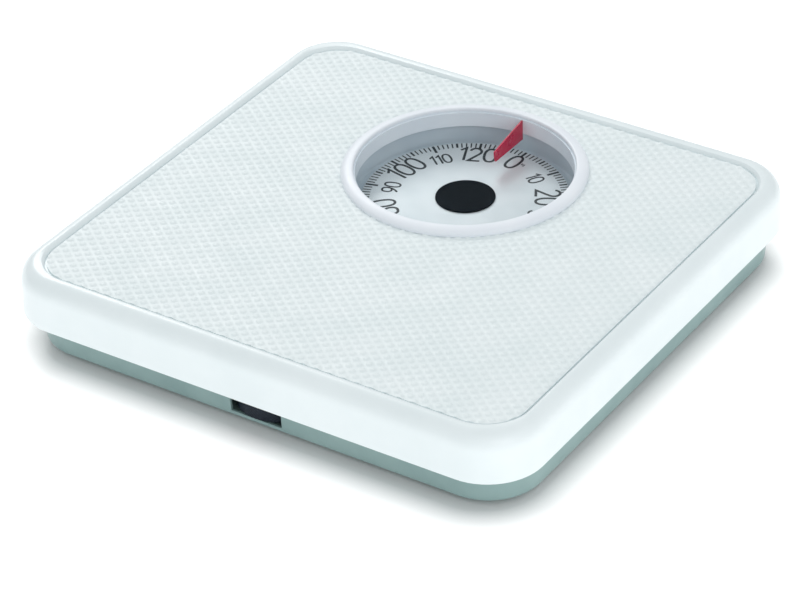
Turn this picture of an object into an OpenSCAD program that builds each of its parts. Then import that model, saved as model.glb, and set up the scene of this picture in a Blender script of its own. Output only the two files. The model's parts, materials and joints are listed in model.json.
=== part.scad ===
// Mechanical dial platform scale: a pressed cover on four load hangers, levers down to a spring
// plate, a bell crank, a rack and a pinion that turns the dial under a round window.
// X runs along the user's edge, Y towards the dial, Z up from the floor. Millimetres.

/* [Platform] */
// Width of the cover at its bottom edge
platform_width = 280; // [270:1:290]
// Depth of the cover at its bottom edge
platform_depth = 270; // [262:1:280]
// Corner radius of the cover
corner_radius = 28; // [26:1:32]
// Radius of the rounded shoulder
shoulder_radius = 9; // [6:1:9]
// Thickness of the pressed sheet
sheet = 1.2; // [0.8:0.1:1.2]
// Height of the mat's top above the floor
mat_height = 44; // [44:0.5:48]
// Thickness of the mat
mat_thickness = 1.5; // [1:0.1:1.6]
// Drop from the mat's top to the cover's bottom edge
cover_drop = 23.7; // [20:0.1:24.5]
// How far the lip stands above the mat
lip_rise = 1.2; // [0.5:0.1:1.5]

/* [Base] */
// Width of the pan at its bottom edge
base_width = 268; // [262:1:269]
// Position of the pan's front edge
base_front = -126; // [-127:1:-125]
// Position of the pan's back edge
base_back = 130; // [129:1:130]
// Height of the rubber feet
foot_height = 3.2; // [2.6:0.1:3.2]

/* [Dial] */
// Distance of the dial's centre behind the platform's centre
dial_offset = 52.5; // [51:0.5:54]
// Radius of the dial disc
dial_radius = 51; // [48:0.5:52]
// Height of the dial's face above the floor
dial_height = 28.7; // [28.6:0.1:28.9]
// Inner radius of the window collar
collar_radius = 53.1; // [52.8:0.1:53.4]
// Outer radius of the bezel's flange
bezel_radius = 60; // [58:0.5:62]
// Radius of the black hub cap
hub_cap_radius = 14.7; // [12:0.1:16]

/* [Mechanism] */
// Distance from the lever's fulcrum to its load pin
load_arm = 15; // [14:0.5:16]
// Radius of the lever pins
pin_radius = 2; // [1.8:0.1:2]
// Module of the rack and pinion
gear_module = 0.6; // [0.6:0.1:0.6]
// Teeth on the dial's pinion
pinion_teeth = 10; // [10:1:10]
// Radius of the zero thumbwheel
wheel_radius = 20.8; // [20.4:0.2:21.2]
// Height of the thumbwheel's rim
wheel_height = 12; // [11:0.5:12]

/* [Hidden] */

$fn = 72;
running_gap = 0.06;      // radial clearance of a pin in its bearing
press_gap = 0.02;        // radial clearance of a pin fixed in its part
side_gap = 0.4;          // clearance beside a moving lever

// Platform heights
seat_height = mat_height - mat_thickness;
tray_height = seat_height - sheet;
lip_height = mat_height + lip_rise;
cover_bottom = mat_height - cover_drop;
skirt_lean = 0.5;
mat_half_x = 129.6;
mat_half_y = 123.5;
mat_corner = 21;
mat_gap = 0.3;

// Window
bezel_top = mat_height + 3.3;
collar_bottom = mat_height - 6.8;
collar_wall = 1.6;
lens_thickness = 1.2;
lens_bottom = mat_height + 1;
lens_ledge = 0.7;
flange_seat = 0.4;
cover_hole = collar_radius + collar_wall + 0.5;
pointer_tip = 27.8;
pointer_bottom = mat_height - 9.9;
pointer_tip_height = 6.1;
pointer_thickness = 0.8;

// Base
floor_bottom = foot_height;
floor_top = floor_bottom + sheet;
base_top = 32;
base_lean = 1.5;
base_corner = 26.5;
base_center_y = (base_back + base_front) / 2;
foot_radius = 9;

// Levers: fulcrum pins stand at the four corners, and the long noses press on the spring plate
pivot_height = 32.5;
pivot_x = 104;
pivot_y = 112;
lever_bottom = 28;
lever_depth = 9;
lever_thickness = 3;
lever_bend_y = 90;
nose_x = 14;
nose_y = -106.5;
nose_radius = 3;
link_x = 67;
long_pin_length = 12;
link_pin_length = 14;
bracket_sheet = 1.5;
bracket_ear_y = 5;
rivet_radius = 1.5;
rivet_head = 2.8;
rivet_offset = 7.5;

// Spring plate and zero adjuster
plate_top = pivot_height + 0.1 - nose_radius;
plate_sheet = 1.6;
plate_edge = 2.8;
plate_bottom = plate_top - plate_sheet;
plate_half_x = 36;
plate_front = -120;
plate_rear = -93;
tongue_rear = -70;
guide_x = 29;
guide_radius = 2.5;
guide_top = 38;
wheel_y = nose_y;
wheel_slot_lift = 1.8;
wheel_bottom = floor_top + wheel_slot_lift + 0.4;
wheel_floor = 1.3;
wheel_ribs = 72;
wheel_slot_x = 14;
wheel_slot_height = 14.3;
seat_bottom = 9.2;
seat_sheet = 1.5;
seat_top = seat_bottom + seat_sheet;
stem_radius = 5;
stud_side = 4;
spring_wire = 2.2;
spring_mean = 9;

// Bell crank and rack
crank_y = -64;
crank_height = 28;
crank_sweep = 54.8;
crank_half_sweep = crank_sweep / 2;
crank_foot_arm = 8.15;
crank_foot_radius = 2;
crank_hang_arm = 20.75;
crank_thickness = 2.5;
link_pin_radius = 1.5;
rack_bottom = 7.1;
rack_height = 2.6;
pitch_radius = gear_module * pinion_teeth / 2;
tooth_pitch = PI * gear_module;
backlash = 0.16;
rack_inner_x = 4.5;
rack_outer_x = 8.5;
rack_front = crank_y - crank_hang_arm * sin(crank_half_sweep);
rack_rear = 66;
rack_teeth = 15;
rack_slot_gap = 0.4;
guide_gap = 0.2;

// Dial
dial_sheet = 1;
spindle_radius = 2;
spindle_tip_radius = 1.2;
spindle_step = 10.6;
hub_cap_height = 1;
bridge_top = 21.5;
bush_flange_top = 22.5;
surround_floor = 24.2;
surround_radius = 72;
surround_inner = 40;
surround_top = 38.6;
surround_wall = 1.2;
surround_legs = [0, 100, 180];
leg_ring = 62;
leg_radius = 4;

// Half outline of a rounded edge, as [distance out from the corner centre, height]
function edge_profile(foot_z, top_z, foot_r, lean, round_r) = concat(
    [[foot_r, foot_z]],
    [for (a = [0:15:90])
        [foot_r - lean - round_r + round_r * cos(a), top_z - round_r + round_r * sin(a)]]
);

// Solid block with a rounded-rectangle plan, whose rim follows a profile
module profiled_block(half_x, half_y, radius, profile) {
    inner_x = half_x - radius;
    inner_y = half_y - radius;
    low = profile[0][1];
    high = profile[len(profile) - 1][1];
    last = len(profile) - 1;
    for (sx = [-1, 1], sy = [-1, 1])
        translate([sx * inner_x, sy * inner_y, 0])
            rotate_extrude()
                polygon(concat([[0, low]], profile, [[0, high]]));
    rotate([90, 0, 0])
        linear_extrude(2 * inner_y, center = true)
            polygon(concat(
                [for (p = profile) [inner_x + p[0], p[1]]],
                [for (i = [last:-1:0]) [-inner_x - profile[i][0], profile[i][1]]]));
    rotate([90, 0, 90])
        linear_extrude(2 * inner_x, center = true)
            polygon(concat(
                [for (p = profile) [inner_y + p[0], p[1]]],
                [for (i = [last:-1:0]) [-inner_y - profile[i][0], profile[i][1]]]));
}

// Flat slab with a rounded-rectangle plan
module rounded_slab(half_x, half_y, radius, low, high) {
    translate([0, 0, low]) {
        translate([-half_x + radius, -half_y, 0])
            cube([2 * (half_x - radius), 2 * half_y, high - low]);
        translate([-half_x, -half_y + radius, 0])
            cube([2 * half_x, 2 * (half_y - radius), high - low]);
        for (sx = [-1, 1], sy = [-1, 1])
            translate([sx * (half_x - radius), sy * (half_y - radius), 0])
                cylinder(r = radius, h = high - low);
    }
}

module at_dial() {
    translate([0, dial_offset, 0]) children();
}

module at_corners(x, y) {
    for (sx = [-1, 1], sy = [-1, 1])
        translate([sx * x, sy * y, 0]) children();
}

// Cylinder between two heights on the local Z axis
module post(radius, low, high) {
    translate([0, 0, low]) cylinder(r = radius, h = high - low);
}

// Cylinder along X, centred on a point
module cross_pin(radius, x, y, z, length) {
    translate([x, y, z]) rotate([0, 90, 0]) cylinder(r = radius, h = length, center = true);
}

// Bent strip on edge that follows a list of plan points
module strip(points, low, high, thickness) {
    for (i = [0:len(points) - 2]) {
        run = points[i + 1] - points[i];
        translate([points[i][0], points[i][1], low])
            rotate([0, 0, atan2(run[1], run[0])])
                translate([0, -thickness / 2, 0])
                    cube([norm(run), thickness, high - low]);
    }
    for (i = [1:len(points) - 2])
        translate([points[i][0], points[i][1], low])
            cylinder(d = thickness, h = high - low);
}

// Ring of points on a wire, from its centre, its outward direction and the wire's radius
function wire_ring(center, outward, up, radius, sides) = [
    for (k = [0:sides - 1])
        center + radius * (cos(360 * k / sides) * outward + sin(360 * k / sides) * up)
];

// Coil spring on the Z axis as one closed tube
module coil(mean, wire, low, high, turns, sides, steps_per_turn) {
    steps = turns * steps_per_turn;
    rise = high - low - wire;
    rings = [for (i = [0:steps])
        let (a = 360 * turns * i / steps, t = i / steps)
        wire_ring(
            [mean * cos(a), mean * sin(a), low + wire / 2 + rise * t],
            [cos(a), sin(a), 0], [0, 0, 1], wire / 2, sides)];
    walls = [for (i = [0:steps - 1], k = [0:sides - 1], half = [0, 1])
        let (next = (k + 1) % sides, near = i * sides, far = near + sides)
        half == 0 ? [near + k, near + next, far + next] : [near + k, far + next, far + k]];
    start_cap = [for (k = [1:sides - 2]) [0, k + 1, k]];
    end_cap = [for (k = [1:sides - 2]) [0, k, k + 1] + [1, 1, 1] * steps * sides];
    polyhedron([for (ring = rings, p = ring) p], concat(walls, start_cap, end_cap));
}

// ---- Base ----

module base_pan() {
    color([0.55, 0.66, 0.66])
    difference() {
        translate([0, base_center_y, 0])
            profiled_block(base_width / 2, (base_back - base_front) / 2, base_corner,
                [[base_corner, floor_bottom], [base_corner + base_lean, base_top]]);
        translate([0, base_center_y, 0])
            profiled_block(base_width / 2, (base_back - base_front) / 2, base_corner,
                [[base_corner - sheet, floor_top], [base_corner + base_lean - sheet, base_top + 1]]);
        translate([-wheel_slot_x, base_front - 5, floor_top + wheel_slot_lift])
            cube([2 * wheel_slot_x, 12, wheel_slot_height]);
        rivet_holes();
        at_surround_legs() post(rivet_radius + 0.05, 0, floor_top + 1);
    }
}

module rubber_feet() {
    color([0.13, 0.13, 0.14])
    for (sx = [-1, 1], y = [base_front + 30, base_back - 30])
        translate([sx * (base_width / 2 - 16), y, 0])
            rotate_extrude()
                polygon([[0, 0], [foot_radius - 1, 0], [foot_radius, 1],
                         [foot_radius, foot_height], [0, foot_height]]);
}

// Places of the rivets that hold the brackets to the pan
module at_rivets() {
    at_corners(pivot_x, pivot_y)
        for (s = [-1, 1])
            translate([s * rivet_offset, 0, 0]) children();
    for (s = [-1, 1])
        translate([-11, crank_y + s * 4, 0]) children();
    at_dial()
        for (sx = [-1, 1], sy = [-1, 1])
            translate([sx * 39, sy * 5, 0]) children();
}

module rivet_holes() {
    at_rivets() post(rivet_radius + 0.05, 0, floor_top + bracket_sheet + 1);
}

module bracket_rivets() {
    color([0.72, 0.73, 0.74])
    at_rivets() {
        post(rivet_radius, floor_bottom - 0.5, floor_top + bracket_sheet + 0.5);
        post(rivet_head, floor_bottom - 1, floor_bottom);
        post(rivet_head, floor_top + bracket_sheet, floor_top + bracket_sheet + 1);
    }
}

module fulcrum_brackets() {
    ear_in = lever_thickness / 2 + side_gap;
    color([0.70, 0.71, 0.72])
    difference() {
        at_corners(pivot_x, pivot_y) {
            translate([-11, -6, floor_top]) cube([22, 12, bracket_sheet]);
            for (s = [0, 1])
                mirror([s, 0, 0])
                    translate([ear_in, -bracket_ear_y, floor_top])
                        cube([bracket_sheet, 2 * bracket_ear_y, pivot_height + 4 - floor_top]);
        }
        rivet_holes();
        for (sx = [-1, 1], sy = [-1, 1])
            cross_pin(pin_radius + running_gap, sx * pivot_x, sy * pivot_y, pivot_height, 10);
    }
}

module guide_posts() {
    color([0.75, 0.76, 0.78])
    for (s = [-1, 1])
        translate([s * guide_x, wheel_y, 0]) {
            post(guide_radius, floor_top, guide_top);
            post(guide_radius + 1.5, floor_top, floor_top + 1.5);
        }
}

module main_spring() {
    color([0.62, 0.63, 0.65])
    translate([0, wheel_y, 0])
        coil(spring_mean, spring_wire, seat_top + 0.05, plate_bottom - 0.05, 4, 8, 20);
}

module adjuster_stud() {
    color([0.75, 0.76, 0.78])
    translate([-stud_side / 2, wheel_y - stud_side / 2, floor_top])
        cube([stud_side, stud_side, 12]);
}

module crank_bracket() {
    ear_in = -crank_thickness / 2 - side_gap;
    color([0.70, 0.71, 0.72])
    difference() {
        union() {
            translate([-14, crank_y - 8, floor_top]) cube([14 + ear_in, 16, bracket_sheet]);
            translate([ear_in - 2, crank_y - 6, floor_top])
                cube([2, 12, crank_height + 5 - floor_top]);
        }
        rivet_holes();
        cross_pin(pin_radius + press_gap, ear_in - 1, crank_y, crank_height, 4);
    }
}

module crank_pin() {
    ear_out = crank_thickness / 2 + side_gap + 2;
    color([0.75, 0.76, 0.78]) {
        cross_pin(pin_radius, (1.5 - ear_out) / 2, crank_y, crank_height, ear_out + 1.5);
        cross_pin(pin_radius + 1.2, 2, crank_y, crank_height, 1);
    }
}

module dial_bridge() {
    color([0.70, 0.71, 0.72])
    difference() {
        at_dial() {
            translate([-34, -9, bridge_top - bracket_sheet]) cube([68, 18, bracket_sheet]);
            for (s = [0, 1])
                mirror([s, 0, 0]) {
                    translate([34 - bracket_sheet, -9, floor_top])
                        cube([bracket_sheet, 18, bridge_top - floor_top]);
                    translate([34 - bracket_sheet, -9, floor_top]) cube([10, 18, bracket_sheet]);
                }
        }
        rivet_holes();
        at_dial() post(4 + press_gap, bridge_top - 3, bridge_top + 1);
    }
}

module dial_bush() {
    color([0.78, 0.62, 0.32])
    at_dial()
        difference() {
            union() {
                post(4, bridge_top - 3, bush_flange_top);
                post(5.5, bridge_top, bush_flange_top);
            }
            post(spindle_radius + running_gap, bridge_top - 4, bush_flange_top + 1);
        }
}

module spindle_foot_bush() {
    color([0.78, 0.62, 0.32])
    at_dial()
        difference() {
            post(5, floor_top, floor_top + 2);
            post(spindle_tip_radius + running_gap, floor_top - 1, floor_top + 3);
        }
}

module rack_guides() {
    color([0.92, 0.92, 0.90])
    for (y = [-25, 12])
        difference() {
            translate([rack_inner_x - 2, y - 3, floor_top])
                cube([rack_outer_x - rack_inner_x + 4, 6, 8.2]);
            translate([rack_inner_x - guide_gap, y - 4, rack_bottom - guide_gap])
                cube([rack_outer_x - rack_inner_x + 2 * guide_gap, 8, rack_height + 2 * guide_gap]);
        }
}

module at_surround_legs() {
    at_dial()
        for (a = surround_legs)
            translate([leg_ring * cos(a), leg_ring * sin(a), 0]) children();
}

module dial_surround() {
    color([0.60, 0.65, 0.67])
    difference() {
        union() {
            at_dial()
                rotate_extrude($fn = 96)
                    polygon([[surround_inner, surround_floor], [surround_radius, surround_floor],
                             [surround_radius, surround_top], [surround_radius - surround_wall, surround_top],
                             [surround_radius - surround_wall, surround_floor + surround_wall],
                             [surround_inner, surround_floor + surround_wall]]);
            at_surround_legs() post(leg_radius, floor_top, surround_floor + 0.5);
        }
        at_surround_legs() post(rivet_radius + 0.05, floor_top - 1, 16);
    }
}

module surround_screws() {
    color([0.72, 0.73, 0.74])
    at_surround_legs() {
        post(rivet_radius, floor_bottom - 0.5, 14);
        post(3.5, floor_bottom - 1, floor_bottom);
    }
}

module return_spring_post() {
    color([0.75, 0.76, 0.78])
    translate([(rack_inner_x + rack_outer_x) / 2, 118, 0]) {
        post(2, floor_top, 12);
        post(3.5, floor_top, floor_top + 1.5);
    }
}

module rack_return_spring() {
    color([0.62, 0.63, 0.65])
    translate([(rack_inner_x + rack_outer_x) / 2, 0, rack_bottom + rack_height / 2])
        rotate([-90, 0, 0])
            coil(2.2, 0.7, rack_rear + 0.05, 115.95, 16, 6, 14);
}

// ---- Platform ----

module top_cover() {
    outer = edge_profile(cover_bottom, lip_height, corner_radius, skirt_lean, shoulder_radius);
    inner = edge_profile(cover_bottom - 1, lip_height - sheet, corner_radius - sheet, skirt_lean,
                         shoulder_radius - sheet);
    color([0.93, 0.94, 0.94])
    difference() {
        union() {
            difference() {
                profiled_block(platform_width / 2, platform_depth / 2, corner_radius, outer);
                profiled_block(platform_width / 2, platform_depth / 2, corner_radius, inner);
            }
            rounded_slab(mat_half_x + mat_gap + sheet, mat_half_y + mat_gap + sheet,
                         mat_corner + sheet, tray_height, lip_height - sheet / 2);
        }
        rounded_slab(mat_half_x + mat_gap, mat_half_y + mat_gap, mat_corner, seat_height,
                     lip_height + 1);
        at_dial() post(cover_hole, tray_height - 1, lip_height + 1);
    }
}

module platform_mat() {
    color([0.95, 0.96, 0.95])
    difference() {
        rounded_slab(mat_half_x, mat_half_y, mat_corner, seat_height, mat_height);
        at_dial() {
            post(cover_hole, seat_height - 1, mat_height + 1);
            post(bezel_radius + mat_gap, mat_height - flange_seat, mat_height + 1);
        }
    }
}

module dial_bezel() {
    wall_out = collar_radius + collar_wall;
    color([0.90, 0.91, 0.96])
    at_dial()
        rotate_extrude($fn = 96)
            polygon([[collar_radius, collar_bottom], [wall_out, collar_bottom],
                     [wall_out, mat_height - flange_seat], [bezel_radius, mat_height - flange_seat],
                     [bezel_radius, mat_height + 0.8], [bezel_radius - 1, mat_height + 1.9],
                     [bezel_radius - 3, mat_height + 2.9], [bezel_radius - 5, bezel_top],
                     [collar_radius + lens_ledge, bezel_top],
                     [collar_radius + lens_ledge, lens_bottom], [collar_radius, lens_bottom]]);
}

module window_lens() {
    color([0.93, 0.95, 0.97, 0.25])
    at_dial() post(collar_radius + lens_ledge - 0.1, lens_bottom, lens_bottom + lens_thickness);
}

module pointer() {
    outer_r = collar_radius;
    color([0.80, 0.05, 0.20])
    at_dial()
        translate([pointer_thickness / 2, 0, 0])
            rotate([90, 0, -90])
                linear_extrude(pointer_thickness)
                    polygon([[-pointer_tip, pointer_bottom + 0.3],
                             [-outer_r + 0.02, pointer_bottom],
                             [-outer_r + 0.02, lens_bottom - 0.2],
                             [-pointer_tip + 1, pointer_bottom + pointer_tip_height]]);
}

module load_hangers() {
    ear_in = lever_thickness / 2 + side_gap;
    load_y = pivot_y - load_arm;
    color([0.70, 0.71, 0.72])
    difference() {
        at_corners(pivot_x, load_y) {
            translate([-9, -5, tray_height - bracket_sheet]) cube([18, 10, bracket_sheet]);
            for (s = [0, 1])
                mirror([s, 0, 0])
                    translate([ear_in, -4, pivot_height - 4])
                        cube([bracket_sheet, 8, tray_height - pivot_height + 4]);
        }
        for (sx = [-1, 1], sy = [-1, 1])
            cross_pin(pin_radius + 0.3, sx * pivot_x, sy * load_y, pivot_height, 10);
    }
}

module bezel_retainer() {
    color([0.72, 0.73, 0.74])
    at_dial()
        difference() {
            post(bezel_radius, tray_height - 1, tray_height);
            post(collar_radius + collar_wall + press_gap, tray_height - 2, tray_height + 1);
        }
}

// ---- Levers, drawn on the left and mirrored for the right ----

module long_lever() {
    points = [[-pivot_x, pivot_y + 5], [-pivot_x, lever_bend_y], [-nose_x, -lever_bend_y],
              [-nose_x, nose_y]];
    difference() {
        strip(points, lever_bottom, lever_bottom + lever_depth, lever_thickness);
        translate([-nose_x - 4, nose_y - 2, lever_bottom - 1]) cube([8, 17.5, 4]);
        cross_pin(pin_radius + press_gap, -pivot_x, pivot_y, pivot_height, 8);
        cross_pin(pin_radius + press_gap, -pivot_x, pivot_y - load_arm, pivot_height, 8);
        cross_pin(pin_radius + 0.4, -pivot_x + lever_bend_y / 2, 0, pivot_height, 16);
    }
    cross_pin(nose_radius, -nose_x, nose_y, plate_top + 0.15 + nose_radius, lever_thickness);
}

module short_lever() {
    points = [[-pivot_x, -pivot_y - 5], [-pivot_x, -pivot_y + 24], [-link_x, -8], [-link_x, 5]];
    difference() {
        strip(points, lever_bottom, lever_bottom + lever_depth, lever_thickness);
        cross_pin(pin_radius + press_gap, -pivot_x, -pivot_y, pivot_height, 8);
        cross_pin(pin_radius + press_gap, -pivot_x, -pivot_y + load_arm, pivot_height, 8);
        cross_pin(pin_radius + press_gap, -link_x, 0, pivot_height, 8);
    }
}

module long_lever_pins() {
    cross_pin(pin_radius, -pivot_x, pivot_y, pivot_height, long_pin_length);
    cross_pin(pin_radius, -pivot_x, pivot_y - load_arm, pivot_height, long_pin_length);
}

module short_lever_pins() {
    cross_pin(pin_radius, -pivot_x, -pivot_y, pivot_height, long_pin_length);
    cross_pin(pin_radius, -pivot_x, -pivot_y + load_arm, pivot_height, long_pin_length);
    cross_pin(pin_radius, -link_x + 5, 0, pivot_height, link_pin_length);
}

module long_lever_left() {
    color([0.66, 0.67, 0.69]) long_lever();
}

module long_lever_left_pins() {
    color([0.78, 0.79, 0.80]) long_lever_pins();
}

module long_lever_right() {
    color([0.66, 0.67, 0.69]) mirror([1, 0, 0]) long_lever();
}

module long_lever_right_pins() {
    color([0.78, 0.79, 0.80]) mirror([1, 0, 0]) long_lever_pins();
}

module short_lever_left() {
    color([0.66, 0.67, 0.69]) short_lever();
}

module short_lever_left_pins() {
    color([0.78, 0.79, 0.80]) short_lever_pins();
}

module short_lever_right() {
    color([0.66, 0.67, 0.69]) mirror([1, 0, 0]) short_lever();
}

module short_lever_right_pins() {
    color([0.78, 0.79, 0.80]) mirror([1, 0, 0]) short_lever_pins();
}

// ---- Spring plate, crank and rack ----

module spring_plate() {
    color([0.70, 0.71, 0.72])
    difference() {
        union() {
            translate([-plate_half_x, plate_front, plate_bottom])
                cube([2 * plate_half_x, plate_rear - plate_front, plate_sheet]);
            translate([-5, plate_rear - 1, plate_bottom])
                cube([10, tongue_rear - plate_rear + 1, plate_sheet]);
            for (y = [plate_front, plate_rear - plate_sheet])
                translate([-plate_half_x, y, plate_top - plate_edge])
                    cube([2 * plate_half_x, plate_sheet, plate_edge]);
        }
        for (s = [-1, 1])
            translate([s * guide_x, wheel_y, 0])
                post(guide_radius + 0.1, plate_bottom - 1, plate_top + 1);
    }
}

module bell_crank() {
    foot_y = crank_y - crank_foot_arm * cos(crank_half_sweep);
    foot_z = crank_height + crank_foot_arm * sin(crank_half_sweep);
    tip_y = crank_y - crank_hang_arm * sin(crank_half_sweep);
    tip_z = crank_height - crank_hang_arm * cos(crank_half_sweep);
    color([0.66, 0.67, 0.69])
    difference() {
        union() {
            cross_pin(4.5, 0, crank_y, crank_height, crank_thickness);
            cross_pin(crank_foot_radius, 0, foot_y, foot_z, crank_thickness);
            cross_pin(2.5, 0, tip_y, tip_z, crank_thickness);
            crank_arm(crank_foot_arm, 90 - crank_half_sweep, 2.4);
            crank_arm(crank_hang_arm, 180 - crank_half_sweep, 5);
        }
        cross_pin(pin_radius + running_gap, 0, crank_y, crank_height, crank_thickness + 1);
        cross_pin(link_pin_radius + press_gap, 0, tip_y, tip_z, crank_thickness + 1);
    }
}

// Bar from the crank's pivot, turned about X from straight up
module crank_arm(length, angle, width) {
    translate([-crank_thickness / 2, crank_y, crank_height])
        rotate([angle, 0, 0])
            translate([0, -width / 2, 0])
                cube([crank_thickness, width, length]);
}

module crank_link_pin() {
    tip_z = crank_height - crank_hang_arm * cos(crank_half_sweep);
    color([0.78, 0.79, 0.80])
    cross_pin(link_pin_radius, (7.5 - crank_thickness / 2) / 2, rack_front, tip_z,
              7.5 + crank_thickness / 2);
}

// One straight-sided rack tooth, pointing to -X, centred on local Y = 0
module rack_tooth() {
    half_pitch_width = (tooth_pitch / 2 - backlash) / 2;
    flank = tan(20);
    tip = 0.85 * gear_module;
    root = 1.25 * gear_module;
    polygon([[pitch_radius - tip, -half_pitch_width + tip * flank],
             [pitch_radius - tip, half_pitch_width - tip * flank],
             [pitch_radius + root, half_pitch_width + root * flank],
             [pitch_radius + root + 0.5, half_pitch_width + root * flank],
             [pitch_radius + root + 0.5, -half_pitch_width - root * flank],
             [pitch_radius + root, -half_pitch_width - root * flank]]);
}

module gear_rack() {
    teeth_rear = dial_offset + 2.5 * tooth_pitch;
    slot_low = crank_height - crank_hang_arm - link_pin_radius - rack_slot_gap;
    slot_high = crank_height - crank_hang_arm * cos(crank_half_sweep) + link_pin_radius
        + rack_slot_gap;
    slot_half = link_pin_radius + rack_slot_gap;
    bar_mid = rack_bottom + rack_height / 2;
    color([0.80, 0.81, 0.82])
    difference() {
        union() {
            translate([rack_inner_x, rack_front + 4, rack_bottom])
                cube([rack_outer_x - rack_inner_x, rack_rear - rack_front - 4, rack_height]);
            translate([rack_inner_x, rack_front - 5, slot_low - 0.6])
                cube([2, 10.5, slot_high - slot_low + 2.2]);
            translate([0, 0, rack_bottom])
                linear_extrude(rack_height)
                    for (i = [0:rack_teeth - 1])
                        translate([0, teeth_rear - (i + 0.5) * tooth_pitch]) rack_tooth();
            translate([pitch_radius + 1.25 * gear_module, teeth_rear - rack_teeth * tooth_pitch,
                       rack_bottom])
                cube([1, rack_teeth * tooth_pitch, rack_height]);
        }
        translate([rack_inner_x - 1, rack_front - slot_half, slot_low])
            cube([4, 2 * slot_half, slot_high - slot_low]);
        translate([(rack_inner_x + rack_outer_x) / 2, rack_rear - 2, bar_mid])
            cylinder(r = 0.8, h = rack_height + 2, center = true);
    }
}

// ---- Dial ----

module dial_spindle() {
    color([0.78, 0.79, 0.80])
    at_dial() {
        post(spindle_tip_radius, floor_top + 0.2, spindle_step);
        post(spindle_radius, spindle_step, dial_height - 0.1);
    }
}

// Flank point of an involute tooth at a radius, for half the tooth's angle at the pitch circle
function involute(base, r) = let (a = acos(base / r)) tan(a) * 180 / PI - a;
function tooth_angle(base, r, half) = half + involute(base, pitch_radius) - involute(base, r);

module drive_pinion() {
    base = pitch_radius * cos(20);
    tip = pitch_radius + 0.85 * gear_module;
    root = pitch_radius - 1.2 * gear_module;
    half = (tooth_pitch / 2 - backlash) / 2 / pitch_radius * 180 / PI;
    flank_radii = [base + 0.02, (base + pitch_radius) / 2 + 0.05, pitch_radius + 0.1, tip];
    foot = tooth_angle(base, flank_radii[0], half) - 3;
    color([0.78, 0.62, 0.32])
    at_dial()
        difference() {
            translate([0, 0, rack_bottom - 0.4])
                linear_extrude(rack_height + 0.8)
                    polygon([for (i = [0:pinion_teeth - 1], p = concat(
                        [[root, -foot]],
                        [for (r = flank_radii) [r, -tooth_angle(base, r, half)]],
                        [for (k = [3:-1:0]) [flank_radii[k],
                            tooth_angle(base, flank_radii[k], half)]],
                        [[root, foot]]))
                        p[0] * [cos(p[1] + 360 * (i + 0.5) / pinion_teeth),
                                sin(p[1] + 360 * (i + 0.5) / pinion_teeth)]]);
            post(spindle_tip_radius + press_gap, 0, spindle_step);
        }
}

module dial_hub() {
    color([0.85, 0.86, 0.86])
    at_dial()
        difference() {
            union() {
                post(6, bush_flange_top + 0.2, dial_height - dial_sheet);
                post(14, dial_height - dial_sheet - 1.5, dial_height - dial_sheet);
            }
            post(spindle_radius + press_gap, bush_flange_top - 1, dial_height);
        }
}

module dial_disc() {
    color([0.95, 0.95, 0.96])
    at_dial()
        difference() {
            post(dial_radius, dial_height - dial_sheet, dial_height);
            post(spindle_radius + press_gap, dial_height - 2, dial_height + 1);
        }
}

module hub_cap() {
    color([0.08, 0.09, 0.10])
    at_dial() post(hub_cap_radius, dial_height, dial_height + hub_cap_height);
}

// ---- Zero adjuster ----

module zero_wheel() {
    rib = 0.5;
    color([0.20, 0.21, 0.22])
    translate([0, wheel_y, 0])
        difference() {
            union() {
                translate([0, 0, wheel_bottom])
                    linear_extrude(wheel_height)
                        polygon([for (i = [0:4 * wheel_ribs - 1])
                            (i % 4 < 2 ? wheel_radius : wheel_radius - rib)
                            * [cos(90 * i / wheel_ribs), sin(90 * i / wheel_ribs)]]);
                post(9, floor_top + 0.1, wheel_bottom + 1);
            }
            post(wheel_radius - 5, wheel_bottom + wheel_floor, wheel_bottom + wheel_height + 1);
            post(stem_radius + running_gap, floor_top - 1, wheel_bottom + wheel_floor + 1);
        }
}

module spring_seat() {
    color([0.78, 0.62, 0.32])
    translate([0, wheel_y, 0])
        difference() {
            union() {
                post(12, seat_bottom, seat_top);
                post(stem_radius, floor_top + 1.2, seat_bottom + 0.1);
            }
            translate([-stud_side / 2 - guide_gap, -stud_side / 2 - guide_gap, 0])
                cube([stud_side + 2 * guide_gap, stud_side + 2 * guide_gap, 20]);
        }
}

base_pan();
rubber_feet();
fulcrum_brackets();
bracket_rivets();
guide_posts();
main_spring();
adjuster_stud();
crank_bracket();
crank_pin();
dial_bridge();
dial_bush();
spindle_foot_bush();
rack_guides();
dial_surround();
surround_screws();
return_spring_post();
rack_return_spring();
top_cover();
platform_mat();
dial_bezel();
window_lens();
pointer();
load_hangers();
bezel_retainer();
long_lever_left();
long_lever_left_pins();
long_lever_right();
long_lever_right_pins();
short_lever_left();
short_lever_left_pins();
short_lever_right();
short_lever_right_pins();
spring_plate();
bell_crank();
crank_link_pin();
gear_rack();
dial_spindle();
drive_pinion();
dial_hub();
dial_disc();
hub_cap();
zero_wheel();
spring_seat();
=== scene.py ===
"""Looks of the dial platform scale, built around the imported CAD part. Lengths in mm until mesh_object."""

import json
import math

import bmesh
import bpy
from mathutils import Matrix, Vector
from mathutils.geometry import delaunay_2d_cdt


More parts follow.
